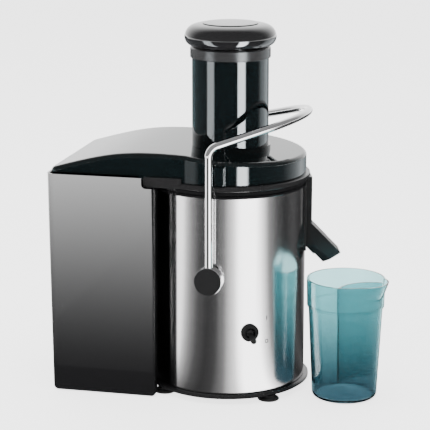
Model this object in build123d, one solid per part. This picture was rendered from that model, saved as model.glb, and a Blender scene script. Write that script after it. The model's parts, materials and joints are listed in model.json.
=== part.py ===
from build123d import *

import math
import os

# Centrifugal juicer: a steel-wrapped motor body with a pulp container hung on one side and a juice
# cup under the spout on the other. Millimetres, +Z up. The modelling frame has Z up the motor axis,
# the pulp container towards -X, the spout towards +X and the bail pivots on the Y axis.
# place() then moves everything so that the origin is the middle of the whole footprint.

# ---- driving dimensions ----
fit_gap = 0.1               # radial gap of a running or push fit
sheet_wall = 0.8            # the steel wrap
plastic_wall = 2.5          # housing, bowl, lid and container walls

foot_height = 5.5
foot_radius = 11.5
foot_neck_radius = 7.5
foot_circle = 79.5
base_radius = 87.0
base_flange_height = 4.5
shell_radius = 82.0
shell_top = 218.7
collar_radius = 86.5
collar_height = 5.6
top_ring_height = 8.0
pivot_height = 135.0
switch_height = 76.5
switch_angle = -61.5        # degrees from +X, seen from above
gland_height = 27.0
cord_bore_radius = 3.6

tube_bore_radius = 37.75    # the wide feed tube takes 75 mm fruit
tube_wall = 2.5
tube_top = 363.0
tube_offset = 2.0           # the feed tube stands a little off the motor axis
tube_bottom = 217.0
rim_height = 10.0
hood_half_width = 77.5
# the lid's crest from the spout side to the hood's tip: (distance along X, height above the lid's foot)
lid_crest = ((90.0, 20.6), (45.0, 23.4), (0.0, 26.6), (-60.0, 29.5), (-104.0, 26.8), (-140.0, 19.0))
hood_tip_rise = 8.6         # height of the crest at the hood's tip
lid_edge_radius = 4.5

container_length = 117.0
container_left = 176.0
container_half_width = 83.0
container_top = 237.0
container_taper = 0.55      # degrees
container_notch = 11.0
container_corner = 8.0
well_gap = 2.0              # between the base flange and the container's concave wall
tray_wall = 1.7

basket_radius = 66.0
basket_floor_radius = 48.0
basket_height = 30.0
grater_teeth = 26

motor_radius = 36.0
armature_radius = 17.6
shaft_radius = 4.0
stator_length = 40.0

bail_rod_radius = 4.0
bail_leg_offset = 91.3
bail_corner_rise = 137.7    # from the pivot to where leg and strand would meet
bail_corner_radius = 12.0
bail_nose_radius = 66.0
bail_reach = 88.2           # from the legs to the nose, along the slope
bail_tilt = 16.7            # degrees, the loop rises towards the spout
knob_radius = 14.5
knob_length = 11.0

spout_angle = 16.0          # degrees from +X, seen from above
spout_slope = 45.9          # degrees below level
spout_half_width = 15.0
spout_depth = 22.4

cup_x = 131.5
cup_y = -24.0
cup_height = 128.0
cup_rim_radius = 41.0
cup_base_radius = 34.0
cup_wall = 1.8
cup_shoulder = 27.0         # below the rim
cup_lip_angle = -24.0
cup_lip_radius = 26.5
cup_lip_offset = 21.5
separator_centre = (34.5, -40.2)     # of the froth separator's curve, from the cup's axis
separator_radius = 36.5
separator_gap = 24.0        # left open under it

# ---- levels worked out from them ----
base_top = foot_height + base_flange_height
shell_bottom = base_top + 0.5
chassis_radius = shell_radius - sheet_wall - 0.2
chassis_inner = chassis_radius - plastic_wall
chassis_split = 60.0         # the lower ring holds the screw bosses, the wall above it is plain
boss_top = 34.0
web_half_width = 1.5
deck_press = 0.1             # the motor deck is pressed into the wall
collar_bottom = shell_top + top_ring_height
collar_top = collar_bottom + collar_height
deck_top = 175.0
deck_bottom = deck_top - 3.0
bowl_radius = chassis_inner - 1.0
bowl_inner = bowl_radius - plastic_wall
bowl_floor = deck_top + 9.0
bowl_floor_top = bowl_floor + plastic_wall
lid_bottom = collar_top + 0.2
lid_radius = collar_radius - 4.0
lid_inner = lid_radius - plastic_wall
hood_bottom = container_top + 1.0
hood_tip = container_left - 3.5
tube_radius = tube_bore_radius + tube_wall
basket_bottom = bowl_floor_top + 17.0
basket_top = basket_bottom + basket_height
stator_bottom = 85.0
stator_top = stator_bottom + stator_length
container_right = container_left - container_length
notch_level = container_top - container_notch
tray_end = container_right + 13.0
tray_half_width = container_half_width - plastic_wall - 1.0
well_radius = base_radius + well_gap + plastic_wall   # inside face of the container's concave wall
spout_start = (88.0, 176.0)              # upper edge of the spout where it leaves the chute
gland_reach = shell_radius + 5.0
axis_x = (container_left - (cup_x + (cup_lip_offset + cup_lip_radius) *
                            math.cos(math.radians(cup_lip_angle)))) / 2


def drum(radius, low, high):
    return Pos(0, 0, low) * Cylinder(radius, high - low, align=(Align.CENTER, Align.CENTER, Align.MIN))


def ring(outer, inner, low, high):
    return drum(outer, low, high) - drum(inner, low - 1, high + 1)


def block(x0, x1, y0, y1, z0, z1):
    return Pos((x0 + x1) / 2, (y0 + y1) / 2, (z0 + z1) / 2) * Box(x1 - x0, y1 - y0, z1 - z0)


def rod(start, direction, radius, length):
    return extrude(Plane(origin=start, z_dir=direction) * Circle(radius), amount=length)


def prism_y(points, half_width):
    """A prism with this outline in the XZ plane, as wide as twice half_width."""
    face = Plane(origin=(0, half_width, 0), x_dir=(1, 0, 0), z_dir=(0, -1, 0)) * make_face(
        Polyline(*points, close=True))
    return extrude(face, amount=2 * half_width)


def turned(points):
    """A solid of revolution about Z from (radius, height) points."""
    return revolve(make_face(Plane.XZ * Polyline(*points, close=True)), Axis.Z)


def around(shape, count, start=0.0):
    return [Rot(0, 0, start + 360.0 * k / count) * shape for k in range(count)]


def grouped(shapes):
    return Compound(children=list(shapes))


def to_spout(shape):
    """A shape drawn along +X, turned to where the spout is."""
    return Rot(0, 0, spout_angle) * shape


def over_grater(shape):
    """A shape drawn about the motor axis, moved to the feed tube's own axis."""
    return Pos(tube_offset, 0, 0) * shape


def single(shape):
    """The one solid of a shape that may have come back wrapped in a compound."""
    solids = shape.solids()
    return solids[0] if len(solids) == 1 else shape


# ---- stand: base pan, feet, screws ----
def foot_places():
    for angle in (-135, -45, 45, 135):
        yield angle, foot_circle * math.cos(math.radians(angle)), foot_circle * math.sin(math.radians(angle))


def base_pan():
    profile = [(0, foot_height), (base_radius - 2, foot_height), (base_radius, foot_height + 1.5),
               (base_radius, base_top - 1.2), (base_radius - 1.2, base_top), (chassis_inner - 3, base_top),
               (chassis_inner - 3, foot_height + 3), (0, foot_height + 3)]
    pan = turned(profile)
    pan += ring(chassis_inner - 0.4, chassis_inner - 3, base_top - 0.5, base_top + 9)
    vent = block(24, 50, -1.6, 1.6, foot_height - 1, foot_height + 4)
    for slot in around(vent, 12, 15):
        pan -= slot
    for hole in around(Pos(screw_circle, 0, 0) * drum(screw_radius + 0.1, 0, 40), 4, screw_angle):
        pan -= hole
    pan -= rod((0, chassis_inner, gland_height), (0, -1, 0), 9, 8)
    return pan


screw_circle = 66.0
screw_angle = 20.0
screw_radius = 1.8


def base_screws():
    screw = drum(3.4, foot_height - 1.2, foot_height) + drum(screw_radius, foot_height, foot_height + 16)
    screw -= block(-0.5, 0.5, -2.4, 2.4, foot_height - 2, foot_height - 0.7)
    screw -= block(-2.4, 2.4, -0.5, 0.5, foot_height - 2, foot_height - 0.7)
    return grouped(around(Pos(screw_circle, 0, 0) * screw, 4, screw_angle))


def foot(x, y):
    profile = [(0, 0), (foot_radius - 0.6, 0), (foot_radius, 0.8), (foot_radius - 0.8, 2.2),
               (foot_neck_radius, 3.6), (foot_neck_radius, foot_height), (0, foot_height)]
    return Pos(x, y, 0) * turned(profile)


# ---- body: steel wrap, chassis, top ring, notch gasket ----
notch_half_width = spout_half_width + 2.0
notch_bottom = 145.5


def notch_block(half_width, bottom, inner, outer):
    """The spout notch, round at its lower corners, from radius inner to outer."""
    sketch = Plane(origin=(inner, 0, (bottom + 240) / 2), x_dir=(0, 1, 0), z_dir=(1, 0, 0)) * Rectangle(
        2 * half_width, 240 - bottom)
    solid = extrude(sketch, amount=outer - inner)
    return to_spout(fillet(solid.edges().filter_by(Axis.X).sort_by(Axis.Z)[:2], 5))


def switch_place(shape):
    """A shape drawn at the origin with its mounting direction along +X, moved to the switch."""
    return Rot(0, 0, switch_angle) * Pos(0, 0, switch_height) * shape


def wall_holes(extra=0.0):
    holes = rod((0, -95, pivot_height), (0, 1, 0), bush_radius + extra, 190)
    holes += switch_place(rod((60, 0, 0), (1, 0, 0), thread_radius + extra, 40))
    holes += rod((0, 60, gland_height), (0, 1, 0), gland_body_radius + extra, 40)
    return holes


bush_radius = 7.0
thread_radius = 6.0
gland_body_radius = 8.0


def steel_shell():
    shell = ring(shell_radius, shell_radius - sheet_wall, shell_bottom, shell_top)
    shell -= notch_block(notch_half_width, notch_bottom, 60, 95)
    shell -= wall_holes(fit_gap)
    seam = block(-0.3, 0.3, shell_radius - 0.35, shell_radius + 1, shell_bottom - 1, shell_top + 1)
    shell -= Rot(0, 0, 62) * seam
    return shell


def chassis_form():
    body = ring(chassis_radius, chassis_inner, base_top + 0.2, shell_top)
    for boss in around(Pos(screw_circle, 0, 0) * drum(4.5, base_top + 1, boss_top), 4, screw_angle):
        body += boss
    web = block(screw_circle + 3, chassis_inner + 0.5, -web_half_width, web_half_width, base_top + 10,
            boss_top)
    for rib in around(web, 4, screw_angle):
        body += rib
    lug = block(-30, interlock_back, -82, -66, pivot_height - 13, pivot_height + 13)
    lug += block(-30, interlock_back + 8.4, -82, -66, pivot_height - 13, pivot_height - 10.1)
    body += lug & drum(chassis_inner + 0.5, 0, 200)
    body -= notch_block(notch_half_width, notch_bottom, 60, 95)
    body -= wall_holes(fit_gap)
    for hole in around(Pos(screw_circle, 0, 0) * drum(screw_radius, 0, foot_height + 18), 4, screw_angle):
        body -= hole
    return body


def chassis():
    return chassis_form() & drum(chassis_radius + 1, 0, chassis_split)


def chassis_wall():
    return chassis_form() & drum(chassis_radius + 1, chassis_split, shell_top + 1)


def motor_deck():
    deck = ring(chassis_inner + deck_press, 9, deck_bottom, deck_top)
    deck += ring(16, 9, deck_bottom - 12, deck_top + 6)
    for post in around(Pos(mount_circle, 0, 0) * drum(7, mount_top, deck_bottom + 0.5), 4, 45):
        deck += post
    for hole in around(Pos(mount_circle, 0, 0) * drum(2.1, mount_top - 1, mount_top + 16), 4, 45):
        deck -= hole
    deck -= notch_block(notch_half_width, notch_bottom, 60, 95)
    deck -= wall_holes(fit_gap)
    return deck + ring(9.4, 8.6, deck_bottom, deck_top)


def top_ring():
    top = shell_top + top_ring_height - 0.1
    profile = [(chassis_inner + 0.3, shell_top + 0.1), (shell_radius + 0.8, shell_top + 0.1),
               (shell_radius + 1.4, shell_top + 0.7), (shell_radius + 1.4, shell_top + 2.6),
               (shell_radius + 0.2, shell_top + 3.2), (shell_radius + 0.2, shell_top + 4.0),
               (shell_radius + 2.4, shell_top + 4.6), (shell_radius + 2.4, top - 0.8),
               (shell_radius + 1.6, top), (chassis_inner + 0.3, top)]
    return turned(profile) - notch_block(notch_half_width, notch_bottom, 60, 95)


def notch_gasket():
    strip = notch_block(notch_half_width - 0.1, notch_bottom + 0.1, 60, 95)
    strip -= notch_block(notch_half_width - 2.0, notch_bottom + 2.0, 59, 96)
    return strip & ring(shell_radius + 1.4, chassis_inner - 0.5, notch_bottom - 5,
            shell_top + top_ring_height - 0.2)


# ---- cord gland, toggle switch ----
def cord_gland():
    start = chassis_inner - 4
    body = rod((0, start, gland_height), (0, 1, 0), gland_body_radius, gland_reach - start)
    body += rod((0, shell_radius + 0.1, gland_height), (0, 1, 0), gland_body_radius + 2.5,
                gland_reach - shell_radius - 0.1)
    body = fillet(body.edges().filter_by(GeomType.CIRCLE).sort_by(Axis.Y)[-1], 1.2)
    return body - rod((0, start - 1, gland_height), (0, 1, 0), cord_bore_radius, 30)


def switch_body():
    body = block(chassis_inner - 26, chassis_inner - 3.2, -7, 7, -14, 14)
    body += rod((chassis_inner - 4, 0, 0), (1, 0, 0), thread_radius - 0.05,
            shell_radius + 2.5 - chassis_inner + 4)
    body -= rod((shell_radius - 7, 0, 0), (1, 0, 0), 5.2, 20)
    for z in (-9, 0, 9):
        body += block(chassis_inner - 33, chassis_inner - 26, -2.4, 2.4, z - 0.4, z + 0.4)
    return switch_place(body)


def switch_nut():
    nut = rod((shell_radius + 0.2, 0, 0), (1, 0, 0), 9.5, 2.6)
    nut = chamfer(nut.edges().filter_by(GeomType.CIRCLE).sort_by(Axis.X)[-1], 0.8)
    nut -= rod((shell_radius - 1, 0, 0), (1, 0, 0), thread_radius, 8)
    for turn in range(20):
        nut -= Rot(turn * 18, 0, 0) * block(shell_radius - 1, shell_radius + 4, 9.2, 11, -0.6, 0.6)
    return switch_place(nut)


lever_rest_angle = 17.0      # below the switch's axis at rest, which is off
lever_ball_radius = 4.9
lever_length = 17.0


def toggle_lever():
    ball_x = shell_radius - 1.6
    lever = Pos(ball_x, 0, 0) * Sphere(lever_ball_radius)
    lever += Pos(ball_x, 0, 0) * Rot(0, 90, 0) * Cone(2.1, 3.1, lever_length,
                                                     align=(Align.CENTER, Align.CENTER, Align.MIN))
    lever += Pos(ball_x + lever_length, 0, 0) * Sphere(3.1)
    lever = Pos(ball_x, 0, 0) * Rot(0, lever_rest_angle, 0) * Pos(-ball_x, 0, 0) * lever
    return switch_place(lever)


# ---- bail: rod, knobs, shafts, bushes, interlock ----
knob_inner = shell_radius + 3.0
bail_start = pivot_height + 4.0


def bail_path():
    """One leg with its bend and strand, the round nose, and the other leg."""
    tilt = math.radians(bail_tilt)
    corner = pivot_height + bail_corner_rise
    plane = Plane(origin=(0, 0, corner), x_dir=(math.cos(tilt), 0, math.sin(tilt)),
                  z_dir=(-math.sin(tilt), 0, math.cos(tilt)))
    centre = bail_reach - bail_nose_radius
    distance = math.hypot(centre, bail_leg_offset)
    half_angle = math.atan2(bail_leg_offset, -centre) - math.acos(bail_nose_radius / distance)
    touch = (centre + bail_nose_radius * math.cos(half_angle), -bail_nose_radius * math.sin(half_angle), 0)
    near = FilletPolyline((0, -bail_leg_offset, bail_start), (0, -bail_leg_offset, corner),
                          tuple(plane.from_local_coords(touch)), radius=bail_corner_radius)
    degrees = math.degrees(half_angle)
    nose = plane * (Pos(centre, 0, 0) * CenterArc((0, 0), bail_nose_radius, -degrees, 2 * degrees))
    return near, nose, mirror(near, about=Plane.XZ)


def locking_bail():
    pieces = []
    for path in bail_path():
        wire = Wire(path.edges())
        pieces.append(sweep(Plane(origin=wire @ 0, z_dir=wire % 0) * Circle(bail_rod_radius), path=wire))
    near, nose, far = pieces
    return nose + near + far


def knob(side):
    body = rod((0, side * knob_inner, pivot_height), (0, side, 0), knob_radius, knob_length)
    body = fillet(body.edges().filter_by(GeomType.CIRCLE), 0.8)
    body -= rod((0, side * (knob_inner - 1), pivot_height), (0, side, 0), shaft_pin_radius, 8)
    body -= rod((0, side * bail_leg_offset, bail_start), (0, 0, 1), bail_rod_radius, 20)
    return body


def knob_cap(side):
    start = knob_inner + knob_length + 0.05
    cap = rod((0, side * start, pivot_height), (0, side, 0), knob_radius - 0.4, 1.8)
    edge = cap.edges().filter_by(GeomType.CIRCLE).sort_by(Axis.Y)[-1 if side > 0 else 0]
    return fillet(edge, 0.9)


shaft_pin_radius = 3.5


def pivot_shaft(side):
    inner = 70.5
    return rod((0, side * inner, pivot_height), (0, side, 0), shaft_pin_radius - 0.02,
            knob_inner + 6.5 - inner)


def pivot_bush(side):
    start = chassis_inner - 2.2
    body = rod((0, side * start, pivot_height), (0, side, 0), bush_radius, shell_radius + 0.2 - start)
    body += rod((0, side * (shell_radius + 0.2), pivot_height), (0, side, 0), bush_radius + 2.4, 1.4)
    return body - rod((0, side * (start - 1), pivot_height), (0, side, 0), shaft_pin_radius + 0.04, 20)


cam_radius = 9.0
cam_drop = 1.2               # over the bail's whole swing
bail_swing = 60.0            # degrees
interlock_back = -21.4


def cam_radius_at(angle):
    """The cam's radius at this angle below -X, which comes to the button as the bail opens by it."""
    return cam_radius - cam_drop * max(0.0, min(1.0, angle / bail_swing))


def interlock_cam():
    points = []
    for step in range(0, 37):
        angle = step * 10.0
        if angle <= 80:
            radius = cam_radius_at(angle)
        else:
            radius = cam_radius - cam_drop
        if angle >= 340:
            radius = cam_radius - cam_drop * (360 - angle) / 20.0
        if step < 36:
            turn = math.radians(180 + angle)
            points.append((radius * math.cos(turn), radius * math.sin(turn)))
    face = Plane(origin=(0, -71.0, pivot_height), x_dir=(1, 0, 0), z_dir=(0, -1, 0)) * make_face(
        Spline(*points, periodic=True))
    cam = extrude(face, amount=4.0)
    return cam - rod((0, -69, pivot_height), (0, -1, 0), shaft_pin_radius, 10)


def interlock_switch():
    body = block(interlock_back, interlock_back + 8.4, -75.2, -69.6, pivot_height - 10, pivot_height + 10)
    return body - block(interlock_back + 5.9, interlock_back + 9, -74.6, -71.4, pivot_height - 1.6,
            pivot_height + 1.6)


def interlock_button():
    tip = -cam_radius - 0.15
    body = block(interlock_back + 6.2, tip - 0.6, -74.4, -71.6, pivot_height - 1.4, pivot_height + 1.4)
    return body + block(tip - 1.0, tip, -73.6, -72.4, pivot_height - 1.4, pivot_height + 1.4)


# ---- motor ----
mount_circle = 44.0
mount_top = 152.0
bracket_top = 146.0
bolt_circle = 40.5


def motor_shaft():
    return drum(shaft_radius, 27, bowl_floor_top + 11)


def upper_bracket():
    body = drum(52, bracket_top - 4, bracket_top) - drum(11.1, 100, 200)
    body += ring(15, 11.1, bracket_top - 11, bracket_top)
    for window in around(Pos(30, 0, 0) * drum(10, 100, 200), 4, 0):
        body -= window
    for hole in around(Pos(mount_circle, 0, 0) * drum(2.2, 100, 200), 4, 45):
        body -= hole
    for hole in around(Pos(bolt_circle, 0, 0) * drum(2.1, 100, 200), 4, 0):
        body -= hole
    return body


def lower_bracket():
    body = drum(46, 48, 52) - drum(9.1, 40, 60)
    body += ring(13, 9.1, 44, 55)
    for window in around(Pos(28, 0, 0) * drum(9.5, 40, 60), 4, 45):
        body -= window
    for hole in around(Pos(bolt_circle, 0, 0) * drum(2.1, 40, 60), 4, 0):
        body -= hole
    return body


def bearing(outer, low, high):
    middle = (shaft_radius + outer) / 2
    race = ring(outer - 0.05, middle + 1.3, low, high) + ring(middle - 1.3, shaft_radius + 0.02, low, high)
    return race + ring(middle + 1.4, middle - 1.4, low + 1.2, high - 1.2)


def vibration_mounts():
    mount = ring(6.5, 2.2, bracket_top, mount_top)
    return grouped(around(Pos(mount_circle, 0, 0) * mount, 4, 45))


def mount_screws():
    screw = drum(3.8, bracket_top - 6.6, bracket_top - 4) + drum(2.0, bracket_top - 4.5, mount_top + 14)
    return grouped(around(Pos(mount_circle, 0, 0) * screw, 4, 45))


def motor_bolts():
    bolt = drum(2.0, 45, bracket_top + 3) + drum(3.6, bracket_top, bracket_top + 3) + drum(3.6, 45, 48)
    return grouped(around(Pos(bolt_circle, 0, 0) * bolt, 4))


def coil_window(low, high):
    return ring(29.5, armature_radius + 1.0, low, high) & block(-17, 17, -40, 40, low - 1, high + 1)


def stator_core():
    body = ring(motor_radius, armature_radius + 1.0, stator_bottom, stator_top)
    return body - coil_window(stator_bottom - 1, stator_top + 1)


def field_coils():
    low, high = stator_bottom - 8, stator_top + 8
    legs = ring(29.0, 20.6, low, high) & block(-16.7, 16.7, -40, 40, low - 1, high + 1)
    ends = ring(29.0, 20.6, stator_top + 0.3, high) + ring(29.0, 20.6, low, stator_bottom - 0.3)
    coil = (legs + ends) & block(2.5, 40, -40, 40, low - 1, high + 1)
    return grouped([coil, Rot(0, 0, 180) * coil])


def armature_core():
    low, high = stator_bottom + 2, stator_top - 2
    body = ring(armature_radius, shaft_radius, low, high)
    for slot in around(block(11.5, 19, -1.0, 1.0, low - 1, high + 1), 12):
        body -= slot
    return body


def armature_windings():
    low, high = stator_bottom + 2, stator_top - 2
    upper = turned([(shaft_radius, high), (16, high), (16.5, high + 3), (14, high + 8), (shaft_radius,
            high + 8)])
    lower = turned([(shaft_radius, low), (16, low), (16.5, low - 3), (14, low - 7), (shaft_radius, low - 7)])
    return grouped([upper, lower])


def commutator():
    body = ring(11, shaft_radius, 62, 78)
    for slot in around(block(10.0, 12, -0.3, 0.3, 61, 76), 24):
        body -= slot
    return body


def carbon_brushes():
    brush = block(11.2, 24, -2.9, 2.9, 66.4, 72.6)
    return grouped([brush, Rot(0, 0, 180) * brush])


def brush_holders():
    holder = block(14, 30, -4, 4, 65.2, 73.8) - block(13, 28.6, -3.0, 3.0, 66.3, 72.7)
    post = block(24, 28, -4, 4, 52, 65.4) - block(20, 29, -10, 10, 40, 52)
    holder = holder + post
    return grouped([holder, Rot(0, 0, 180) * holder])


def cooling_fan():
    fan = ring(9, shaft_radius, 29, 40) + ring(34, 8.5, 38, 40)
    blade = block(10, 33.5, -0.8, 0.8, 29.5, 38.5)
    for k in range(9):
        fan += Rot(0, 0, 40 * k) * Pos(0, 3, 0) * Rot(0, 0, -8) * blade
    return fan


def shaft_seal():
    return ring(8.5, shaft_radius + 0.5, deck_bottom - 4, deck_top - 1)


# ---- drive, basket ----
coupling_low = bowl_floor_top + 2.0
coupling_high = basket_bottom - 2.0


def coupling_outline(radius, gap):
    """A six-lobed drive outline."""
    face = Circle(radius - 1.6 + gap)
    for k in range(6):
        face += Rot(0, 0, 60 * k) * Pos(radius - 1.8, 0) * Circle(1.8 + gap)
    return face


def drive_coupling():
    body = Pos(0, 0, coupling_low) * extrude(coupling_outline(10.0, 0), amount=coupling_high - coupling_low)
    return body - drum(shaft_radius, coupling_low - 1, bowl_floor_top + 11)


def basket_hub():
    body = drum(basket_floor_radius + 1.5, basket_bottom - 1.5, basket_bottom + 3.0)
    body += drum(14.6, coupling_low + 2.5, basket_bottom)
    body -= Pos(0, 0, coupling_low) * extrude(coupling_outline(10.0, fit_gap),
            amount=coupling_high - coupling_low + 0.2)
    body += ring(basket_floor_radius + 1.5, basket_floor_radius - 1.5, basket_bottom, basket_bottom + 5.0)
    return body


def mesh_profile(shift):
    low, high = basket_bottom + 5.1, basket_top - 3.0
    return (basket_floor_radius + shift, low), (basket_radius + shift - 1.5, high)


def basket_mesh():
    (r0, z0), (r1, z1) = mesh_profile(0.0)
    body = turned([(r0, z0), (r0 + 0.8, z0), (r1 + 0.8, z1), (r1, z1)])
    slope = math.degrees(math.atan2(r1 - r0, z1 - z0))
    middle_r, middle_z = (r0 + r1) / 2, (z0 + z1) / 2
    slot = Pos(middle_r, 0, middle_z) * Rot(0, slope, 0) * Box(6, 1.3, 0.78 * math.hypot(r1 - r0, z1 - z0))
    cutters = Compound(children=around(slot, 48))
    return body - cutters


def basket_rim():
    low = basket_top - 3.0
    profile = [(basket_radius - 1.5, low), (basket_radius + 1.2, low), (basket_radius + 4.0, low + 1.6),
               (basket_radius + 4.0, basket_top + 1.5), (basket_radius + 1.0, basket_top + 1.5),
               (basket_radius - 1.5, basket_top - 0.6)]
    return turned(profile)


def grater_disc():
    top = basket_bottom + 3.9
    disc = drum(basket_floor_radius - 2.0, basket_bottom + 3.05, top)
    tooth = Rot(0, 0, 25) * Pos(0, 0, top - 0.2) * Box(2.6, 0.7, 1.8, align=(Align.CENTER, Align.CENTER,
            Align.MIN))
    for ring_radius, count in ((16.0, 8), (26.0, grater_teeth // 2), (36.0, grater_teeth - 8)):
        for k in range(count):
            angle = 360.0 * k / count + ring_radius
            disc += Rot(0, 0, angle) * Pos(ring_radius, 0, 0) * tooth
    return disc


# ---- juice bowl, spout ----
def slope_plane():
    angle = math.radians(spout_slope)
    return Plane(origin=(spout_start[0], 0, spout_start[1]), x_dir=(0, 1, 0),
                 z_dir=(math.cos(angle), 0, -math.sin(angle)))


def duct(half_width, top, bottom, start, end):
    """A prism along the spout, its lower corners chamfered; depths are below its upper edge."""
    corner = 0.62 * (bottom - top)
    outline = Polyline((-half_width, -top), (half_width, -top), (half_width, -top - corner),
                       (half_width - 6.2, -bottom), (6.2 - half_width, -bottom),
                       (-half_width, -top - corner), close=True)
    plane = slope_plane()
    return Pos(*(plane.z_dir * start)) * extrude(plane * make_face(outline), amount=end - start)


stub_end = 27.2
nozzle_end = 52.0


def spout_cut():
    """Everything beyond the slanted mouth of the spout."""
    return prism_y([(128, 148.8), (92.5, 126.7), (92.5, 100), (180, 100), (180, 200), (150, 200)], 40)


def tray_outline(half_width, reach, end):
    plate = Rectangle(2 * half_width + 400, 2 * half_width) & (
        Circle(reach) + Pos(-end / 2, 0) * Rectangle(end, 2 * half_width))
    return plate & Pos(-100, 0) * Rectangle(200, 400)


chute_outer = 88.0
chute_wall = 2.3
chute_bottom = 152.0


def spout_root():
    """The chute down the outside of the bowl and the stub that leaves it."""
    half_width = spout_half_width - 0.2
    root = block(bowl_radius - 3, chute_outer, -half_width, half_width, bowl_floor - 5, collar_bottom)
    root += block(chassis_inner + 0.4, chute_outer, -half_width, half_width, chute_bottom, bowl_floor)
    root += duct(half_width, 0, spout_depth, -10, stub_end) & block(chassis_inner + 0.4, 200, -40, 40,
            100, 200)
    return root - drum(bowl_radius + 0.05, deck_top, collar_top)


def spout_hollow():
    inner, outer = chute_outer - 7.0, chute_outer - chute_wall
    hollow = prism_y([(bowl_inner - 3, bowl_floor_top), (bowl_inner - 3, collar_bottom - 3),
                      (outer, collar_bottom - 3), (outer, 165), (inner, 160), (inner, bowl_floor_top)],
                     spout_half_width - 3)
    hollow += duct(spout_half_width - 1.7, 1.9, spout_depth - 1.7, 0, stub_end + 5) & block(82.5, 200,
            -40, 40, 100, 200)
    return hollow + (duct(spout_half_width - 3.0, 1.9, spout_depth - 3.0, -6, 8) & block(inner, 200,
            -40, 40, 100, 200))


def pulp_tray():
    """The plate and side walls that carry the pulp over the container's edge."""
    low = notch_level + 1
    plate = extrude(tray_outline(tray_half_width, well_radius + 5, tray_end), amount=plastic_wall)
    tray = Pos(0, 0, low) * plate - drum(bowl_inner + 1, 200, 250)
    wall = block(-tray_end, -30, tray_half_width - tray_wall, tray_half_width, low, hood_bottom - 0.4)
    for piece in (wall, mirror(wall, about=Plane.XZ)):
        tray += piece - drum(collar_radius - 1, 200, 260)
    return tray


def juice_bowl():
    body = ring(bowl_radius, bowl_inner, deck_top + 0.3, collar_bottom + 1)
    body += drum(bowl_inner + 0.5, bowl_floor, bowl_floor_top)
    body += ring(13.4, 11.2, bowl_floor, bowl_floor_top + 4)
    body += ring(bowl_inner + 0.5, basket_radius + 5.5, collar_top - 2.6, collar_top)
    body += turned([(bowl_inner, collar_bottom + 0.1), (collar_radius - 0.8, collar_bottom + 0.1),
                    (collar_radius, collar_bottom + 0.9), (collar_radius, collar_top - 1.0),
                    (collar_radius - 1.0, collar_top), (bowl_inner, collar_top)])
    body += pulp_tray()
    body -= drum(11.2, 100, bowl_floor_top + 20)
    return body - to_spout(spout_hollow())


def spout_chute():
    return to_spout(spout_root() - spout_hollow())


def spout_nozzle():
    nozzle = duct(spout_half_width - 0.6, 0.2, spout_depth - 1.2, stub_end + 0.15, nozzle_end)
    nozzle += duct(spout_half_width - 1.8, 2.0, spout_depth - 1.8, stub_end - 9, stub_end + 0.3)
    nozzle -= duct(spout_half_width - 3.3, 3.6, spout_depth - 4.2, stub_end - 12, nozzle_end + 10)
    return to_spout(nozzle - spout_cut())


# ---- lid, feed tube rim ----
def lid_form(inset):
    """The lid's round part and hood as one solid under its arched crest."""
    tip = hood_tip - inset
    outline = Circle(lid_radius - inset) + Pos(-tip / 2, 0) * Rectangle(tip, 2 * (hood_half_width - inset))
    outline = fillet([v for v in outline.vertices() if v.X > -60], 12.0)
    outline = fillet([v for v in outline.vertices() if v.X < -60 - inset], 7.0 - inset)
    form = Pos(0, 0, lid_bottom) * extrude(outline, amount=60)
    points = [(x, lid_bottom + rise - inset) for x, rise in lid_crest]
    points.append((-hood_tip - 4, lid_bottom + hood_tip_rise - inset))
    crest = Spline(*points)
    under = Polyline(points[-1], (points[-1][0], lid_bottom - 5), (points[0][0], lid_bottom - 5), points[0])
    face = make_face(crest.edges() + under.edges())
    prism = extrude(Plane(origin=(0, 100, 0), x_dir=(1, 0, 0), z_dir=(0, -1, 0)) * face, amount=200)
    return form & prism


def lid():
    body = lid_form(0)
    broad = body.faces().filter_by(lambda f: f.center().Z > lid_bottom + 12 and f.area > 5000)
    crest = broad.sort_by(Axis.Z)[-1]
    body = fillet(crest.edges(), lid_edge_radius)
    body += over_grater(drum(tube_radius + 2.4, lid_bottom + 15, lid_bottom + 29))
    body -= lid_form(plastic_wall)
    body -= drum(lid_inner, lid_bottom - 1, lid_bottom + 12)
    body -= block(-300, -tray_end + 6, -200, 200, lid_bottom - 1, hood_bottom)
    body -= block(-lid_radius - 1, -20, plastic_wall - hood_half_width, hood_half_width - plastic_wall,
                  lid_bottom - 1, hood_bottom + 1)
    lug = block(4, 15, lid_radius - 4, collar_radius - 0.1, collar_top + 1.2, lid_bottom + 20)
    lug = fillet(lug.edges().filter_by(Axis.Z), 1.4)
    body += lug + mirror(lug, about=Plane.XZ)
    return body - over_grater(drum(tube_radius + 0.05, tube_bottom - 1, tube_top + 1))


def feed_tube():
    return over_grater(ring(tube_radius, tube_bore_radius, tube_bottom, tube_top))


def feed_tube_rim():
    outer = tube_radius + 1.9
    rim = turned([(tube_radius + 0.05, tube_top - rim_height), (outer - 0.5, tube_top - rim_height),
                  (outer, tube_top - rim_height + 0.5), (outer, tube_top), (outer - 1.2, tube_top + 1.6),
                  (tube_bore_radius + 0.3, tube_top + 1.6), (tube_bore_radius, tube_top + 1.2),
                  (tube_bore_radius, tube_top + 0.1), (tube_radius + 0.05, tube_top + 0.1)])
    return over_grater(rim)


# ---- pusher ----
pusher_radius = tube_bore_radius - 0.5
cap_radius = 48.0
cap_bottom = tube_top + 2.2
cap_height = 24.0
cap_belly = 9.5             # height of its widest part


def pusher_stem():
    top = cap_bottom + 4
    body = drum(pusher_radius, tube_bottom + 1, top)
    body = fillet(body.edges().filter_by(GeomType.CIRCLE).sort_by(Axis.Z)[0], 3.0)
    return over_grater(body - drum(pusher_radius - 2.2, tube_bottom + 4, top + 1))


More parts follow.
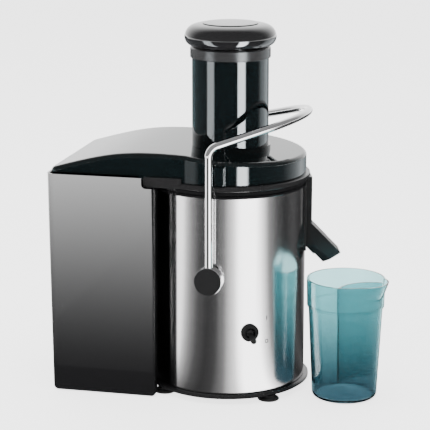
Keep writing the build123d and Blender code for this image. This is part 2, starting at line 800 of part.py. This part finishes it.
def pusher_cap():
    waist, low, high = cap_radius - 8.0, cap_bottom, cap_bottom + cap_height
    belly = low + cap_belly
    lower = ThreePointArc((waist, low), (cap_radius - 1.9, low + 3.6), (cap_radius, belly))
    upper = Spline((cap_radius, belly), (cap_radius - 1.6, belly + 6.2), (cap_radius - 8.0, belly + 11.6),
                   (cap_radius - 22, high - 1.0), (0, high), tangents=((0, 1), (-1, 0)))
    inside = Polyline((0, high), (0, low + 5), (pusher_radius - 2.4, low + 5), (pusher_radius - 2.4,
            low + 4.2),
                      (pusher_radius + 0.1, low + 4.2), (pusher_radius + 0.1, low), (waist, low))
    face = make_face(Plane.XZ * Curve(lower.edges() + upper.edges() + inside.edges()))
    return over_grater(revolve(face, Axis.Z))


# ---- pulp container ----
def container_outline(inset):
    left, right = container_left - inset, container_right + inset
    half = container_half_width - inset
    face = Pos(-(left + right) / 2, 0) * Rectangle(left - right, 2 * half)
    face -= Circle(well_radius - plastic_wall + inset)
    corners = face.vertices().sort_by(Axis.X)
    face = fillet(corners[:2], container_corner - inset)
    tips = [v for v in face.vertices() if v.X > -right - 0.5]
    return fillet(tips, 5.0 - inset if inset < 4 else 1.0)


def pulp_container():
    down = Plane(origin=(0, 0, container_top), x_dir=(1, 0, 0), z_dir=(0, 0, -1))
    outer = extrude(down * mirror(container_outline(0), about=Plane.XZ), amount=container_top,
            taper=container_taper)
    inner = extrude(down * mirror(container_outline(plastic_wall), about=Plane.XZ),
                    amount=container_top - plastic_wall - 0.5, taper=container_taper)
    outer = fillet(outer.faces().sort_by(Axis.Z)[0].edges(), 5.0)
    body = outer - inner
    opening = drum(well_radius + 2, notch_level, container_top + 5) & block(
        -200, 0, -container_half_width + plastic_wall + 0.1,
        container_half_width - plastic_wall - 0.1, 100, 300)
    side = block(-tray_end - 1, 0, -100, 100, notch_level, container_top + 10)
    side = fillet(side.edges().filter_by(Axis.Y).sort_by(Axis.X)[:2].sort_by(Axis.Z)[0], 4.5)
    return body - opening - side


# ---- juice cup ----
def tapered(bottom_radius, top_radius, low, high):
    return Pos(0, 0, low) * Cone(bottom_radius, top_radius, high - low, align=(Align.CENTER,
            Align.CENTER, Align.MIN))


def lip_solid(inset, top):
    """The pouring lip: an oblique cone that leans out from the shoulder to the rim."""
    low = cup_height - cup_shoulder - 3 + inset
    angle = math.radians(cup_lip_angle)
    upper = Pos(cup_lip_offset * math.cos(angle), cup_lip_offset * math.sin(angle),
            top) * Circle(cup_lip_radius - inset)
    lower = Pos(5 * math.cos(angle), 5 * math.sin(angle), low) * Circle(cup_lip_radius + 4 - inset)
    return loft([lower, upper])


def cup_hollow(gap=0.0):
    """The inside of the cup, drawn in by gap."""
    shoulder = cup_height - cup_shoulder
    inset = cup_wall + gap
    slope = (cup_rim_radius - 2 - cup_base_radius) / shoulder
    floor = 2.6 + gap
    inside = tapered(cup_base_radius - inset + slope * floor, cup_rim_radius - 2 - inset, floor, shoulder)
    inside = fillet(inside.edges().filter_by(GeomType.CIRCLE).sort_by(Axis.Z)[0], 3.5)
    return inside + tapered(cup_rim_radius - 0.6 - inset, cup_rim_radius - inset, shoulder - 0.2,
            cup_height + 1)


def juice_cup():
    shoulder = cup_height - cup_shoulder
    body = tapered(cup_base_radius, cup_rim_radius - 2, 0, shoulder)
    body = fillet(body.edges().filter_by(GeomType.CIRCLE).sort_by(Axis.Z)[0], 5.0)
    body += tapered(cup_rim_radius - 0.6, cup_rim_radius, shoulder - 2, cup_height)
    body += lip_solid(0, cup_height)
    angle = math.radians(cup_lip_angle)
    mouth = Pos(cup_lip_offset * math.cos(angle), cup_lip_offset * math.sin(angle),
            cup_height - 0.1) * Cylinder(
        cup_lip_radius - cup_wall, 2, align=(Align.CENTER, Align.CENTER, Align.MIN))
    return Pos(cup_x, cup_y, 0) * (body - cup_hollow() - lip_solid(cup_wall, cup_height) - mouth)


def froth_separator():
    """A curved wall across the cup in front of its lip, open at the bottom."""
    wall = Pos(*separator_centre, 0) * ring(separator_radius + 0.9, separator_radius - 0.9, separator_gap,
                                            cup_height - 1.5)
    return Pos(cup_x, cup_y, 0) * (wall & cup_hollow(0.15))


def build_nodes():
    nodes = {"base_pan": base_pan(), "base_screws": base_screws()}
    for (angle, x, y), name in zip(foot_places(), ("front_left", "front_right", "rear_right", "rear_left")):
        nodes[f"foot_{name}"] = foot(x, y)
    for make in (steel_shell, chassis, chassis_wall, motor_deck, top_ring, notch_gasket, cord_gland,
                 switch_body, switch_nut, toggle_lever, locking_bail, interlock_cam, interlock_switch,
                 interlock_button, motor_shaft, upper_bracket, lower_bracket, vibration_mounts,
                 mount_screws, motor_bolts, stator_core, field_coils, armature_core,
                 armature_windings, commutator, carbon_brushes, brush_holders, cooling_fan,
                 shaft_seal, drive_coupling, basket_hub, basket_mesh, basket_rim, grater_disc,
                 juice_bowl, spout_chute, spout_nozzle, lid, feed_tube, feed_tube_rim, pusher_stem,
                 pusher_cap, pulp_container, juice_cup, froth_separator):
        nodes[make.__name__] = make()
    for side, name in ((-1, "front"), (1, "rear")):
        nodes[f"pivot_knob_{name}"] = knob(side)
        nodes[f"knob_cap_{name}"] = knob_cap(side)
        nodes[f"pivot_shaft_{name}"] = pivot_shaft(side)
    nodes["pivot_bushes"] = grouped(pivot_bush(side) for side in (-1, 1))
    nodes["upper_bearing"] = bearing(11.0, bracket_top - 9, bracket_top - 1)
    nodes["lower_bearing"] = bearing(9.0, 46, 53)
    return nodes


def place(shape):
    return Pos(axis_x, 0, 0) * shape


if __name__ == "__main__":
    os.makedirs("parts", exist_ok=True)
    for name, shape in build_nodes().items():
        export_step(place(single(shape)), f"parts/{name}.step")
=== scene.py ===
import bpy
import bmesh
import json
from math import cos, radians, sin
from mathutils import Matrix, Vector


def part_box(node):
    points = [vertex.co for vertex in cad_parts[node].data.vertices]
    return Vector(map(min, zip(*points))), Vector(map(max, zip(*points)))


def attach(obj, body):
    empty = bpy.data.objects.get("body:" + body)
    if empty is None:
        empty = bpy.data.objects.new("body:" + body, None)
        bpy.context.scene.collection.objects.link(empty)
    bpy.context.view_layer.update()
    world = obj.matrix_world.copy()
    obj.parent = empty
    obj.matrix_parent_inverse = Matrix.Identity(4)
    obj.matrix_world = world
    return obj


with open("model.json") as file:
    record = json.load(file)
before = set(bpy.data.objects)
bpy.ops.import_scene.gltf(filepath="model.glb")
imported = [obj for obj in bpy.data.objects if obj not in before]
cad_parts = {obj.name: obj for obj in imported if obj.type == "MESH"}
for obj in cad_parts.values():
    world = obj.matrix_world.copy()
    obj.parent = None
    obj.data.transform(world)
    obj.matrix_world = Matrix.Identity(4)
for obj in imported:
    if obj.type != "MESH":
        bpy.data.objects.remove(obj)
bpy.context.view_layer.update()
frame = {"nodes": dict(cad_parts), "record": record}
nodes = frame["nodes"]
print("frame loaded,", len(nodes), "nodes")


# it stands out from the target and looks at the aim, so the object sits off the picture's middle
cameraSet = {"azimuth": 12.68, "elevation": 12.84, "distance": 1.845, "target": (0.0, 0.0, 0.210),
             "aim": (-0.0122, -0.0088, 0.1842), "lens": 145.3, "sensor": 36.0, "near": 0.1, "far": 50.0}


def towardsCamera(azimuth, elevation):
    a, e = radians(azimuth), radians(elevation)
    return Vector((sin(a) * cos(e), -cos(a) * cos(e), sin(e)))


def makeCamera():
    data = bpy.data.cameras.new("camera")
    data.lens = cameraSet["lens"]
    data.sensor_width = cameraSet["sensor"]
    data.clip_start = cameraSet["near"]
    data.clip_end = cameraSet["far"]
    camera = bpy.data.objects.new("camera", data)
    bpy.context.scene.collection.objects.link(camera)
    back = towardsCamera(cameraSet["azimuth"], cameraSet["elevation"])
    camera.location = Vector(cameraSet["target"]) + back * cameraSet["distance"]
    look = Vector(cameraSet["aim"]) - camera.location
    camera.rotation_euler = look.to_track_quat("-Z", "Y").to_euler()
    bpy.context.scene.camera = camera


makeCamera()
print("camera set")


def newGroup(name, inputs, outputs):
    group = bpy.data.node_groups.new(name, "ShaderNodeTree")
    for label, value in inputs.items():
        socket = group.interface.new_socket(name=label, in_out="INPUT", socket_type="NodeSocketFloat")
        socket.default_value = value
    for label, kind in outputs.items():
        group.interface.new_socket(name=label, in_out="OUTPUT", socket_type=kind)
    return group, group.nodes.new("NodeGroupInput"), group.nodes.new("NodeGroupOutput")


def makeMouldSkin():
    # the faint orange peel and handling haze of a moulded surface
    group, put, out = newGroup("mouldSkin", {"Peel Size": 260.0, "Peel": 0.3, "Haze Size": 22.0,
                                             "Gloss": 0.08, "Haze": 0.05},
                               {"Roughness": "NodeSocketFloat", "Normal": "NodeSocketVector"})
    place = group.nodes.new("ShaderNodeTexCoord")
    peel = group.nodes.new("ShaderNodeTexNoise")
    peel.inputs["Detail"].default_value = 2.0
    haze = group.nodes.new("ShaderNodeTexNoise")
    haze.inputs["Detail"].default_value = 5.0
    haze.inputs["Roughness"].default_value = 0.6
    bump = group.nodes.new("ShaderNodeBump")
    bump.inputs["Distance"].default_value = 0.00004
    scaled = group.nodes.new("ShaderNodeMath")
    scaled.operation = "MULTIPLY"
    added = group.nodes.new("ShaderNodeMath")
    added.operation = "ADD"
    link = group.links.new
    link(place.outputs["Object"], peel.inputs["Vector"])
    link(place.outputs["Object"], haze.inputs["Vector"])
    link(put.outputs["Peel Size"], peel.inputs["Scale"])
    link(put.outputs["Haze Size"], haze.inputs["Scale"])
    link(peel.outputs["Fac"], bump.inputs["Height"])
    link(put.outputs["Peel"], bump.inputs["Strength"])
    link(haze.outputs["Fac"], scaled.inputs[0])
    link(put.outputs["Haze"], scaled.inputs[1])
    link(scaled.outputs[0], added.inputs[0])
    link(put.outputs["Gloss"], added.inputs[1])
    link(added.outputs[0], out.inputs["Roughness"])
    link(bump.outputs["Normal"], out.inputs["Normal"])
    return group


def makeBrushing():
    # fine lines round the Z axis: the grain of a wrapped or turned metal part
    group, put, out = newGroup("brushing", {"Lines": 2600.0, "Wander": 9.0, "Depth": 0.25, "Gloss": 0.2,
                                            "Spread": 0.14},
                               {"Roughness": "NodeSocketFloat", "Tone": "NodeSocketFloat",
                                "Normal": "NodeSocketVector"})
    place = group.nodes.new("ShaderNodeTexCoord")
    stretch = group.nodes.new("ShaderNodeVectorMath")
    stretch.operation = "MULTIPLY"
    amounts = group.nodes.new("ShaderNodeCombineXYZ")
    lines = group.nodes.new("ShaderNodeTexNoise")
    lines.inputs["Scale"].default_value = 1.0
    lines.inputs["Detail"].default_value = 3.0
    lines.inputs["Roughness"].default_value = 0.65
    bump = group.nodes.new("ShaderNodeBump")
    bump.inputs["Distance"].default_value = 0.00002
    scaled = group.nodes.new("ShaderNodeMath")
    scaled.operation = "MULTIPLY"
    added = group.nodes.new("ShaderNodeMath")
    added.operation = "ADD"
    link = group.links.new
    link(put.outputs["Wander"], amounts.inputs["X"])
    link(put.outputs["Wander"], amounts.inputs["Y"])
    link(put.outputs["Lines"], amounts.inputs["Z"])
    link(place.outputs["Object"], stretch.inputs[0])
    link(amounts.outputs[0], stretch.inputs[1])
    link(stretch.outputs[0], lines.inputs["Vector"])
    link(lines.outputs["Fac"], bump.inputs["Height"])
    link(put.outputs["Depth"], bump.inputs["Strength"])
    link(lines.outputs["Fac"], scaled.inputs[0])
    link(put.outputs["Spread"], scaled.inputs[1])
    link(scaled.outputs[0], added.inputs[0])
    link(put.outputs["Gloss"], added.inputs[1])
    link(added.outputs[0], out.inputs["Roughness"])
    link(lines.outputs["Fac"], out.inputs["Tone"])
    link(bump.outputs["Normal"], out.inputs["Normal"])
    return group


# shader groups that several finishes share
mouldSkin = makeMouldSkin()
brushing = makeBrushing()
print("shader groups made")


def newFinish(name, colour, **sockets):
    material = bpy.data.materials.new(name)
    material.use_nodes = True
    shader = material.node_tree.nodes["Principled BSDF"]
    shader.inputs["Base Color"].default_value = (*colour, 1.0)
    for label, value in sockets.items():
        shader.inputs[label.replace("_", " ")].default_value = value
    return material, shader


def addGroup(material, group, **values):
    node = material.node_tree.nodes.new("ShaderNodeGroup")
    node.node_tree = group
    for label, value in values.items():
        node.inputs[label.replace("_", " ")].default_value = value
    return node


def moulded(name, colour, peelSize=260.0, peel=0.25, gloss=0.06, haze=0.05, **sockets):
    material, shader = newFinish(name, colour, **sockets)
    skin = addGroup(material, mouldSkin, Peel_Size=peelSize, Peel=peel, Gloss=gloss, Haze=haze)
    link = material.node_tree.links.new
    link(skin.outputs["Roughness"], shader.inputs["Roughness"])
    link(skin.outputs["Normal"], shader.inputs["Normal"])
    return material


def brushed(name, dark, light, lines=2600.0, wander=9.0, depth=0.25, gloss=0.2, spread=0.14, **sockets):
    material, shader = newFinish(name, light, Metallic=1.0, **sockets)
    grain = addGroup(material, brushing, Lines=lines, Wander=wander, Depth=depth, Gloss=gloss, Spread=spread)
    tree = material.node_tree
    tone = tree.nodes.new("ShaderNodeMix")
    tone.data_type = "RGBA"
    tone.inputs["A"].default_value = (*dark, 1.0)
    tone.inputs["B"].default_value = (*light, 1.0)
    tree.links.new(grain.outputs["Tone"], tone.inputs["Factor"])
    tree.links.new(tone.outputs["Result"], shader.inputs["Base Color"])
    tree.links.new(grain.outputs["Roughness"], shader.inputs["Roughness"])
    tree.links.new(grain.outputs["Normal"], shader.inputs["Normal"])
    return material


def paintFootShade(material, low, high, lowColour, highColour):
    # blends a colour by height: painted shade, so that the clear cup is darker towards its foot
    tree = material.node_tree
    shader = tree.nodes["Principled BSDF"]
    place = tree.nodes.new("ShaderNodeTexCoord")
    split = tree.nodes.new("ShaderNodeSeparateXYZ")
    ramp = tree.nodes.new("ShaderNodeMapRange")
    ramp.inputs["From Min"].default_value = low
    ramp.inputs["From Max"].default_value = high
    mix = tree.nodes.new("ShaderNodeMix")
    mix.data_type = "RGBA"
    mix.inputs["A"].default_value = (*lowColour, 1.0)
    mix.inputs["B"].default_value = (*highColour, 1.0)
    tree.links.new(place.outputs["Object"], split.inputs[0])
    tree.links.new(split.outputs["Z"], ramp.inputs["Value"])
    tree.links.new(ramp.outputs["Result"], mix.inputs["Factor"])
    tree.links.new(mix.outputs["Result"], shader.inputs["Base Color"])


def copperWindings():
    # enamelled wire laid in rows: bands round the coil, each strand a shade apart
    material, shader = newFinish("copperWindings", (0.45, 0.16, 0.06), Metallic=1.0, Coat_Weight=0.4)
    tree = material.node_tree
    place = tree.nodes.new("ShaderNodeTexCoord")
    wires = tree.nodes.new("ShaderNodeTexWave")
    wires.bands_direction = "Z"
    wires.inputs["Scale"].default_value = 420.0
    wires.inputs["Distortion"].default_value = 1.2
    bump = tree.nodes.new("ShaderNodeBump")
    bump.inputs["Strength"].default_value = 0.6
    bump.inputs["Distance"].default_value = 0.0002
    tone = tree.nodes.new("ShaderNodeMix")
    tone.data_type = "RGBA"
    tone.inputs["A"].default_value = (0.28, 0.09, 0.03, 1.0)
    tone.inputs["B"].default_value = (0.62, 0.26, 0.10, 1.0)
    shader.inputs["Roughness"].default_value = 0.3
    tree.links.new(place.outputs["Object"], wires.inputs["Vector"])
    tree.links.new(wires.outputs["Fac"], bump.inputs["Height"])
    tree.links.new(wires.outputs["Fac"], tone.inputs["Factor"])
    tree.links.new(tone.outputs["Result"], shader.inputs["Base Color"])
    tree.links.new(bump.outputs["Normal"], shader.inputs["Normal"])
    return material


def makeFinishes():
    made = {
        "brushed_steel": brushed("wrappedSteel", (0.56, 0.555, 0.56), (0.70, 0.695, 0.70), depth=0.18,
                                 gloss=0.11, spread=0.09),
        "chrome": brushed("polishedChrome", (0.80, 0.80, 0.81), (0.88, 0.88, 0.89), lines=60.0, wander=60.0,
                          depth=0.02, gloss=0.03, spread=0.05),
        "gloss_black": moulded("glossBlack", (0.0085, 0.0085, 0.009), peel=0.12, gloss=0.05, haze=0.05,
                               IOR=1.52, Coat_Weight=0.25, Coat_Roughness=0.03),
        "satin_black": moulded("satinBlack", (0.012, 0.012, 0.0125), peelSize=900.0, peel=0.35, gloss=0.20,
                               haze=0.12, IOR=1.49),
        "smoked_clear": moulded("smokedClear", (0.012, 0.028, 0.031), peel=0.10, gloss=0.01, haze=0.02,
                                Transmission_Weight=0.9, IOR=1.49),
        "pusher_black": moulded("pusherBlack", (0.006, 0.0065, 0.007), peel=0.15, gloss=0.10, haze=0.08),
        "cup_clear": moulded("cupClear", (0.22, 0.43, 0.46), peel=0.10, gloss=0.005, haze=0.02,
                             Transmission_Weight=1.0, IOR=1.49),
        "separator_clear": moulded("separatorClear", (0.24, 0.45, 0.48), peel=0.10, gloss=0.01, haze=0.02,
                                   Transmission_Weight=1.0, IOR=1.49),
        "rubber": moulded("footRubber", (0.014, 0.014, 0.014), peelSize=1600.0, peel=0.8, gloss=0.5, haze=0.2),
        "moulding": moulded("innerMoulding", (0.035, 0.035, 0.037), peelSize=1200.0, peel=0.6, gloss=0.38,
                            haze=0.15),
        "zinc_steel": brushed("groundSteel", (0.42, 0.42, 0.43), (0.60, 0.60, 0.61), lines=3200.0, depth=0.3,
                              gloss=0.22, spread=0.16),
        "stainless": brushed("basketStainless", (0.52, 0.52, 0.53), (0.68, 0.68, 0.69), lines=1500.0, depth=0.2,
                             gloss=0.18, spread=0.14),
        "cast_alloy": brushed("pressedAlloy", (0.50, 0.50, 0.51), (0.66, 0.66, 0.67), lines=300.0, wander=300.0,
                              depth=0.5, gloss=0.35, spread=0.15),
        "copper": copperWindings(),
        "acetal": moulded("whiteAcetal", (0.70, 0.70, 0.67), peelSize=900.0, peel=0.3, gloss=0.30, haze=0.1),
        "carbon": moulded("brushCarbon", (0.05, 0.05, 0.052), peelSize=2200.0, peel=0.9, gloss=0.45, haze=0.15),
    }
    # painted shade: the clear cup's colour darkens towards its foot
    paintFootShade(made["cup_clear"], low=0.0, high=0.105, lowColour=(0.055, 0.10, 0.125),
               highColour=(0.27, 0.50, 0.52))
    return made


finishes = makeFinishes()
slotOf = {row["node"]: row["material_slot"] for row in frame["record"]["subparts"]}
for name, node in nodes.items():
    node.data.materials.clear()
    node.data.materials.append(finishes[slotOf[name]])
print("finishes assigned:", len(finishes))


# the bar and ring by the toggle: degrees round the body from its right, then metres
marks = {"angle": -48.1, "offHeight": 0.0652, "onHeight": 0.0905, "size": 0.0042, "stroke": 0.0008,
         "proud": 0.00006, "lift": 0.00009, "ringSides": 48}


def wrapOnShell(mesh, angle, height, radius, middle):
    # a flat mark in the XY plane laid on the steel, its X running round the body
    for vert in mesh.verts:
        turn = radians(angle) + vert.co.x / radius
        reach = radius + vert.co.z + marks["lift"]
        vert.co = Vector((middle + reach * cos(turn), reach * sin(turn), height + vert.co.y))


def newThing(name, mesh):
    data = bpy.data.meshes.new(name)
    mesh.to_mesh(data)
    mesh.free()
    thing = bpy.data.objects.new(name, data)
    bpy.context.scene.collection.objects.link(thing)
    return thing


def finishPiece(mesh, name, body, slot):
    bmesh.ops.recalc_face_normals(mesh, faces=mesh.faces)
    piece = newThing(name, mesh)
    piece.data.materials.append(finishes[slot])
    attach(piece, body)


def makeMarks():
    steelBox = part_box("steel_shell")
    radius = (steelBox[1].x - steelBox[0].x) / 2
    middle = (steelBox[1].x + steelBox[0].x) / 2
    bar = bmesh.new()
    bmesh.ops.create_grid(bar, x_segments=2, y_segments=6, size=0.5)
    bmesh.ops.scale(bar, vec=(marks["stroke"], marks["size"], 1.0), verts=bar.verts)
    bmesh.ops.solidify(bar, geom=bar.faces, thickness=-marks["proud"])
    wrapOnShell(bar, marks["angle"], marks["onHeight"], radius, middle)
    finishPiece(bar, "switchMarkOn", "root", "satin_black")
    loop = bmesh.new()
    bmesh.ops.create_circle(loop, segments=marks["ringSides"], radius=marks["size"] / 2)
    bmesh.ops.create_circle(loop, segments=marks["ringSides"], radius=marks["size"] / 2 - marks["stroke"])
    bmesh.ops.bridge_loops(loop, edges=loop.edges)
    bmesh.ops.solidify(loop, geom=loop.faces, thickness=-marks["proud"])
    wrapOnShell(loop, marks["angle"], marks["offHeight"], radius, middle)
    finishPiece(loop, "switchMarkOff", "root", "satin_black")


makeMarks()
print("switch marks made")


def reflectedOnly(thing):
    for flag in ("visible_camera", "visible_diffuse", "visible_transmission", "visible_shadow"):
        setattr(thing, flag, False)


def stagePlane(name, halfWidth, height, material, cameraSees=True):
    mesh = bmesh.new()
    bmesh.ops.create_grid(mesh, x_segments=1, y_segments=1, size=halfWidth)
    bmesh.ops.translate(mesh, vec=(0, 0, height), verts=mesh.verts)
    plane = newThing(name, mesh)
    plane.data.materials.append(material)
    if not cameraSees:
        reflectedOnly(plane)


def newGlow(name, mesh, tint=(1.0, 1.0, 1.0)):
    # a sheet that adds light to what lies behind it; the caller drives the strength socket
    sheet = newThing(name, mesh)
    material = bpy.data.materials.new(name)
    material.use_nodes = True
    tree = material.node_tree
    tree.nodes.clear()
    glow = tree.nodes.new("ShaderNodeEmission")
    glow.inputs["Color"].default_value = (*tint, 1.0)
    through = tree.nodes.new("ShaderNodeBsdfTransparent")
    both = tree.nodes.new("ShaderNodeAddShader")
    out = tree.nodes.new("ShaderNodeOutputMaterial")
    tree.links.new(glow.outputs[0], both.inputs[0])
    tree.links.new(through.outputs[0], both.inputs[1])
    tree.links.new(both.outputs[0], out.inputs["Surface"])
    sheet.data.materials.append(material)
    return sheet, tree, glow.inputs["Strength"]


def lightOnly(thing, receivers):
    reflectedOnly(thing)
    group = bpy.data.collections.new(thing.name + "Takes")
    for label in receivers:
        group.objects.link(nodes[label])
    thing.light_linking.receiver_collection = group


# discs of light round the object, each seen only in the reflections of the nodes it is linked to;
# a stop is a turn in degrees from the camera's side, positive to its right, and the brightness there
glowDiscs = {
    "steelGlow": {"height": 0.003, "tint": (1.0, 0.995, 0.99), "power": 1.0,
                  "nodes": ["steel_shell", "locking_bail", "pivot_knob_front", "pivot_knob_rear"],
                  "stops": [(-180, 1.2), (-162, 3.6), (-146, 3.4), (-134, 0.30), (-110, 0.05), (-97, 1.3),
                            (-88, 3.6), (-68, 3.3), (-60, 1.0), (-52, 0.40), (-42, 0.12), (-29, 0.05),
                            (-17, 0.08), (-5, 0.35), (8, 2.2), (17, 7.0), (40, 7.0), (48, 3.0), (58, 0.45),
                            (73, 0.12), (88, 0.03), (107, 0.10), (130, 0.03), (146, 0.30), (160, 0.9),
                            (180, 1.2)]},
    "clearGlow": {"height": 0.004, "tint": (0.90, 0.96, 1.0), "power": 26.0,
                  "nodes": ["feed_tube", "pusher_cap", "feed_tube_rim"],
                  "stops": [(-180, 0.01), (-100, 0.01), (-75, 0.01), (-70, 0.36), (-52, 0.36), (-47, 0.005),
                            (20, 0.005), (24, 1.4), (42, 1.4), (47, 0.005), (90, 0.005), (104, 0.07), (134, 0.09),
                            (150, 0.02), (180, 0.01)]},
    "lidGlow": {"height": 0.005, "tint": (0.92, 0.97, 1.0), "power": 26.0, "nodes": ["lid"],
                "stops": [(-180, 0.004), (-78, 0.004), (-64, 0.05), (-50, 0.05), (-42, 0.004), (11, 0.004),
                          (14, 1.5), (25, 1.5), (29, 0.004), (84, 0.01), (104, 0.05), (130, 0.09), (150, 0.02),
                          (180, 0.004)]},
}


discShape = {"radius": 2.8, "sides": 96}


def makeGlowDisc(name, spec):
    mesh = bmesh.new()
    bmesh.ops.create_circle(mesh, cap_ends=True, segments=discShape["sides"], radius=discShape["radius"])
    bmesh.ops.translate(mesh, vec=(0, 0, spec["height"]), verts=mesh.verts)
    disc, tree, strength = newGlow(name, mesh, spec["tint"])
    place = tree.nodes.new("ShaderNodeTexCoord")
    turnDisc = tree.nodes.new("ShaderNodeMapping")
    turnDisc.inputs["Rotation"].default_value = (0, 0, radians(-(cameraSet["azimuth"] - 90.0)))
    sweep = tree.nodes.new("ShaderNodeTexGradient")
    sweep.gradient_type = "RADIAL"
    ramp = tree.nodes.new("ShaderNodeValToRGB")
    most = max(value for turn, value in spec["stops"])
    elements = ramp.color_ramp.elements
    while len(elements) < len(spec["stops"]):
        elements.new(0.5)
    for element, (turn, value) in zip(elements, spec["stops"]):
        element.position = (turn + 180.0) / 360.0
        element.color = (value / most, value / most, value / most, 1.0)
    power = tree.nodes.new("ShaderNodeMath")
    power.operation = "MULTIPLY"
    power.inputs[1].default_value = most * spec["power"]
    link = tree.links.new
    link(place.outputs["Object"], turnDisc.inputs["Vector"])
    link(turnDisc.outputs["Vector"], sweep.inputs["Vector"])
    link(sweep.outputs["Fac"], ramp.inputs["Fac"])
    link(ramp.outputs["Color"], power.inputs[0])
    link(power.outputs[0], strength)
    lightOnly(disc, spec["nodes"])


# soft sheets of light on the ground that the flat container mirrors, one for each side that shows:
# which way the sheet lies, where it starts and ends, and how bright it is at its two ends
containerGlow = {"nodes": ["pulp_container"], "curve": 1.5,
                 "sheets": {"frontGlow": {"way": (0, -1), "from": 0.14, "to": 1.35, "across": (-0.30, 1.1),
                                          "height": 0.006, "low": 0.15, "high": 17.0},
                            "backGlow": {"way": (0, 1), "from": 0.14, "to": 1.35, "across": (-1.1, 1.1),
                                         "height": 0.006, "low": 0.15, "high": 9.0},
                            "sideGlow": {"way": (-1, 0), "from": 0.24, "to": 1.45, "across": (-1.1, 1.1),
                                         "height": 0.0065, "low": 0.15, "high": 9.0}}}


def makeContainerGlow(name, spec):
    outward = Vector((*spec["way"], 0.0))
    side = Vector((outward.y, -outward.x, 0.0))
    rise = Vector((0, 0, spec["height"]))
    left, right = spec["across"]
    mesh = bmesh.new()
    corners = [outward * spec["from"] + side * left, outward * spec["from"] + side * right,
               outward * spec["to"] + side * right, outward * spec["to"] + side * left]
    mesh.faces.new([mesh.verts.new(corner + rise) for corner in corners])
    sheet, tree, strength = newGlow(name, mesh)
    place = tree.nodes.new("ShaderNodeTexCoord")
    along = tree.nodes.new("ShaderNodeVectorMath")
    along.operation = "DOT_PRODUCT"
    along.inputs[1].default_value = outward
    fade = tree.nodes.new("ShaderNodeMapRange")
    fade.inputs["From Min"].default_value = spec["from"]
    fade.inputs["From Max"].default_value = spec["to"]
    curve = tree.nodes.new("ShaderNodeMath")
    curve.operation = "POWER"
    curve.inputs[1].default_value = containerGlow["curve"]
    scaled = tree.nodes.new("ShaderNodeMapRange")
    scaled.inputs["To Min"].default_value = spec["low"]
    scaled.inputs["To Max"].default_value = spec["high"]
    link = tree.links.new
    link(place.outputs["Object"], along.inputs[0])
    link(along.outputs["Value"], fade.inputs["Value"])
    link(fade.outputs["Result"], curve.inputs[0])
    link(curve.outputs[0], scaled.inputs["Value"])
    link(scaled.outputs["Result"], strength)
    lightOnly(sheet, containerGlow["nodes"])


areaLights = {"overhead": {"place": (0.1, -0.5, 2.4), "aim": (0, 0, 0.1), "size": (2.4, 2.4), "power": 60.0},
              "sideFill": {"place": (-2.2, -0.8, 1.3), "aim": (0, 0, 0.2), "size": (1.2, 1.6), "power": 18.0}}


def makeAreaLight(name, spec):
    data = bpy.data.lights.new(name, "AREA")
    data.shape = "RECTANGLE"
    data.size, data.size_y = spec["size"]
    data.energy = spec["power"]
    light = bpy.data.objects.new(name, data)
    bpy.context.scene.collection.objects.link(light)
    light.location = spec["place"]
    light.rotation_euler = (Vector(spec["aim"]) - Vector(spec["place"])).to_track_quat("-Z", "Y").to_euler()
    light.visible_camera = False
    light.visible_glossy = False


# the floor glows to read as a white sweep; the card keeps reflections dark where no glow lies over it
stageSet = {"floorHalf": 12.0, "floorColour": (0.90, 0.90, 0.90), "floorRoughness": 0.9, "floorGlow": 2.6,
            "floorSpecular": 0.1, "cardHalf": 3.2, "cardHeight": 0.001, "cardColour": (0.012, 0.012, 0.013)}

# the room is brighter behind the object than in front of it
roomLight = {"From Min": 0.05, "From Max": 0.98, "To Min": 0.30, "To Max": 2.5}


def makeFloor():
    finish, shader = newFinish("paleFloor", stageSet["floorColour"], Roughness=stageSet["floorRoughness"])
    shader.inputs["Specular IOR Level"].default_value = stageSet["floorSpecular"]
    shader.inputs["Emission Color"].default_value = (1.0, 1.0, 1.0, 1.0)
    shader.inputs["Emission Strength"].default_value = stageSet["floorGlow"]
    stagePlane("floor", stageSet["floorHalf"], 0.0, finish)
    card, shader = newFinish("darkCard", stageSet["cardColour"], Roughness=1.0)
    shader.inputs["Specular IOR Level"].default_value = 0.0
    stagePlane("darkCard", stageSet["cardHalf"], stageSet["cardHeight"], card, cameraSees=False)


def makeRoom():
    world = bpy.data.worlds.new("softRoom")
    bpy.context.scene.world = world
    world.use_nodes = True
    tree = world.node_tree
    sky = tree.nodes["Background"]
    sky.inputs["Color"].default_value = (1.0, 1.0, 1.0, 1.0)
    way = tree.nodes.new("ShaderNodeTexCoord")
    ahead = tree.nodes.new("ShaderNodeVectorMath")
    ahead.operation = "DOT_PRODUCT"
    ahead.inputs[1].default_value = -towardsCamera(cameraSet["azimuth"], 0.0)
    fade = tree.nodes.new("ShaderNodeMapRange")
    fade.interpolation_type = "SMOOTHSTEP"
    for label, value in roomLight.items():
        fade.inputs[label].default_value = value
    tree.links.new(way.outputs["Generated"], ahead.inputs[0])
    tree.links.new(ahead.outputs["Value"], fade.inputs["Value"])
    tree.links.new(fade.outputs["Result"], sky.inputs["Strength"])


def makeStage():
    makeFloor()
    for name, spec in glowDiscs.items():
        makeGlowDisc(name, spec)
    for name, spec in containerGlow["sheets"].items():
        makeContainerGlow(name, spec)
    for name, spec in areaLights.items():
        makeAreaLight(name, spec)
    makeRoom()


makeStage()
print("stage and lights made")
